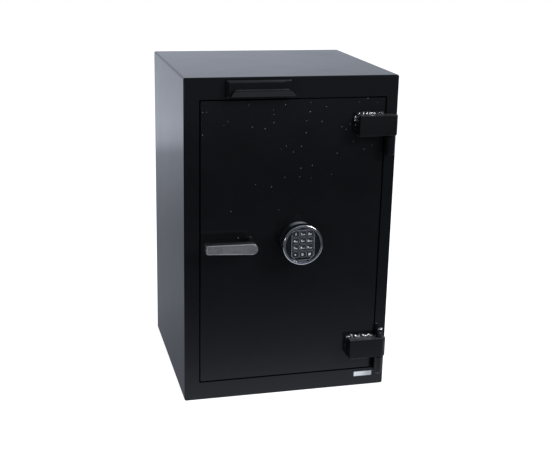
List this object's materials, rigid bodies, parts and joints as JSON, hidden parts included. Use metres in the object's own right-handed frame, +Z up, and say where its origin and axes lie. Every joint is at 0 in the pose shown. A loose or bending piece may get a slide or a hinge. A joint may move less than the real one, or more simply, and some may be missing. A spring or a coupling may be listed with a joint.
{
  "type": "drop safe with deposit drawer",
  "caption": "Floor-standing steel drop safe with a deposit drawer, a flush plate door on barrel hinges, a keypad lock and a lever that throws round bolts.",
  "frame": {"origin": "middle of the underside of the cabinet, half way between its sides and between its front plane and its back", "axes": "+X to the right seen from the front, +Y to the back, +Z up; the door is at -Y"},
  "size_m": [0.419, 0.438, 0.648],
  "materials": {
    "black_paint": "gloss black powder coat",
    "grey_paint": "dark grey primer",
    "satin_steel": "satin",
    "zinc_steel": "zinc plated",
    "chrome": "polished",
    "bronze": "plain bearing bronze",
    "cast_zinc": "as cast",
    "black_plastic": "satin black",
    "key_rubber": "matt dark grey",
    "circuit_board": "green solder mask",
    "battery_case": "plain foil sleeve",
    "cable_sheath": "matt black"
  },
  "bodies": {
    "cabinet": {"body_wrap": "black_paint", "back_panel": "black_paint", "front_frame": "black_paint", "upper_door_stop": "grey_paint", "lower_door_stop": "grey_paint", "drawer_tunnel": "grey_paint", "anti_fish_comb": "zinc_steel", "flap_rod": "zinc_steel", "upper_hinge_knuckle": "black_paint", "upper_hinge_pin": "black_paint", "upper_thrust_washer": "black_paint", "lower_hinge_knuckle": "black_paint", "lower_hinge_pin": "black_paint", "lower_thrust_washer": "black_paint"},
    "door": {"door_plate": "black_paint", "upper_hinge_leaf": "black_paint", "lower_hinge_leaf": "black_paint", "dead_bar": "grey_paint", "hard_plate": "zinc_steel", "lock_case": "cast_zinc", "bolt_angle": "grey_paint", "upper_tail_guide": "grey_paint", "lower_tail_guide": "grey_paint", "handle_collar": "black_paint", "spindle_bush": "bronze", "keypad_housing": "black_plastic", "keypad_bezel": "chrome", "keypad_face": "black_plastic", "keypad_board": "circuit_board", "keypad_battery": "battery_case", "keypad_cable": "cable_sheath"},
    "handle": {"handle_lever": "satin_steel", "handle_spindle": "zinc_steel", "handle_cam": "zinc_steel", "drive_pin": "zinc_steel"},
    "boltwork": {"bolt_carrier": "zinc_steel", "yoke_plate": "zinc_steel", "upper_bolt": "zinc_steel", "middle_bolt": "zinc_steel", "lower_bolt": "zinc_steel"},
    "lock_bolt": {"lock_bolt": "bronze"},
    "drawer": {"drawer_front": "black_paint", "drawer_pull": "black_paint", "drawer_tray": "grey_paint"},
    "flap": {"one_way_flap": "zinc_steel"},
    "key_1": {"key_1": "key_rubber"},
    "key_2": {"key_2": "key_rubber"},
    "key_3": {"key_3": "key_rubber"},
    "key_4": {"key_4": "key_rubber"},
    "key_5": {"key_5": "key_rubber"},
    "key_6": {"key_6": "key_rubber"},
    "key_7": {"key_7": "key_rubber"},
    "key_8": {"key_8": "key_rubber"},
    "key_9": {"key_9": "key_rubber"},
    "key_star": {"key_star": "key_rubber"},
    "key_0": {"key_0": "key_rubber"},
    "key_hash": {"key_hash": "key_rubber"}
  },
  "joints": [
    {"name": "door_hinge", "type": "hinge", "parent": "cabinet", "child": "door", "pos_m": [0.1926, -0.2079, 0.3], "axis": [0, 0, 1], "range_deg": [0, 170]},
    {"name": "handle_turn", "type": "hinge", "parent": "door", "child": "handle", "pos_m": [-0.086, -0.195, 0.32787], "axis": [0, -1, 0], "range_deg": [0, 90]},
    {"name": "bolt_throw", "type": "slide", "parent": "door", "child": "boltwork", "axis": [-1, 0, 0], "range_m": [0, 0.02828]},
    {"name": "lock_throw", "type": "slide", "parent": "door", "child": "lock_bolt", "axis": [0, 0, 1], "range_m": [0, 0.01]},
    {"name": "drawer_slide", "type": "slide", "parent": "cabinet", "child": "drawer", "axis": [0, -1, 0], "range_m": [0, 0.095]},
    {"name": "flap_swing", "type": "hinge", "parent": "cabinet", "child": "flap", "pos_m": [-0.0683, -0.176, 0.6358], "axis": [1, 0, 0], "range_deg": [0, 70]},
    {"name": "key_1_press", "type": "slide", "parent": "door", "child": "key_1", "axis": [0, 1, 0], "range_m": [0, 0.0012], "stiffness_N_per_m": 600, "springref_m": -0.0008},
    {"name": "key_2_press", "type": "slide", "parent": "door", "child": "key_2", "axis": [0, 1, 0], "range_m": [0, 0.0012], "stiffness_N_per_m": 600, "springref_m": -0.0008},
    {"name": "key_3_press", "type": "slide", "parent": "door", "child": "key_3", "axis": [0, 1, 0], "range_m": [0, 0.0012], "stiffness_N_per_m": 600, "springref_m": -0.0008},
    {"name": "key_4_press", "type": "slide", "parent": "door", "child": "key_4", "axis": [0, 1, 0], "range_m": [0, 0.0012], "stiffness_N_per_m": 600, "springref_m": -0.0008},
    {"name": "key_5_press", "type": "slide", "parent": "door", "child": "key_5", "axis": [0, 1, 0], "range_m": [0, 0.0012], "stiffness_N_per_m": 600, "springref_m": -0.0008},
    {"name": "key_6_press", "type": "slide", "parent": "door", "child": "key_6", "axis": [0, 1, 0], "range_m": [0, 0.0012], "stiffness_N_per_m": 600, "springref_m": -0.0008},
    {"name": "key_7_press", "type": "slide", "parent": "door", "child": "key_7", "axis": [0, 1, 0], "range_m": [0, 0.0012], "stiffness_N_per_m": 600, "springref_m": -0.0008},
    {"name": "key_8_press", "type": "slide", "parent": "door", "child": "key_8", "axis": [0, 1, 0], "range_m": [0, 0.0012], "stiffness_N_per_m": 600, "springref_m": -0.0008},
    {"name": "key_9_press", "type": "slide", "parent": "door", "child": "key_9", "axis": [0, 1, 0], "range_m": [0, 0.0012], "stiffness_N_per_m": 600, "springref_m": -0.0008},
    {"name": "key_star_press", "type": "slide", "parent": "door", "child": "key_star", "axis": [0, 1, 0], "range_m": [0, 0.0012], "stiffness_N_per_m": 600, "springref_m": -0.0008},
    {"name": "key_0_press", "type": "slide", "parent": "door", "child": "key_0", "axis": [0, 1, 0], "range_m": [0, 0.0012], "stiffness_N_per_m": 600, "springref_m": -0.0008},
    {"name": "key_hash_press", "type": "slide", "parent": "door", "child": "key_hash", "axis": [0, 1, 0], "range_m": [0, 0.0012], "stiffness_N_per_m": 600, "springref_m": -0.0008}
  ],
  "couplings": [
    {"joint": "bolt_throw", "follows": "handle_turn", "m_per_rad": 0.018006}
  ]
}
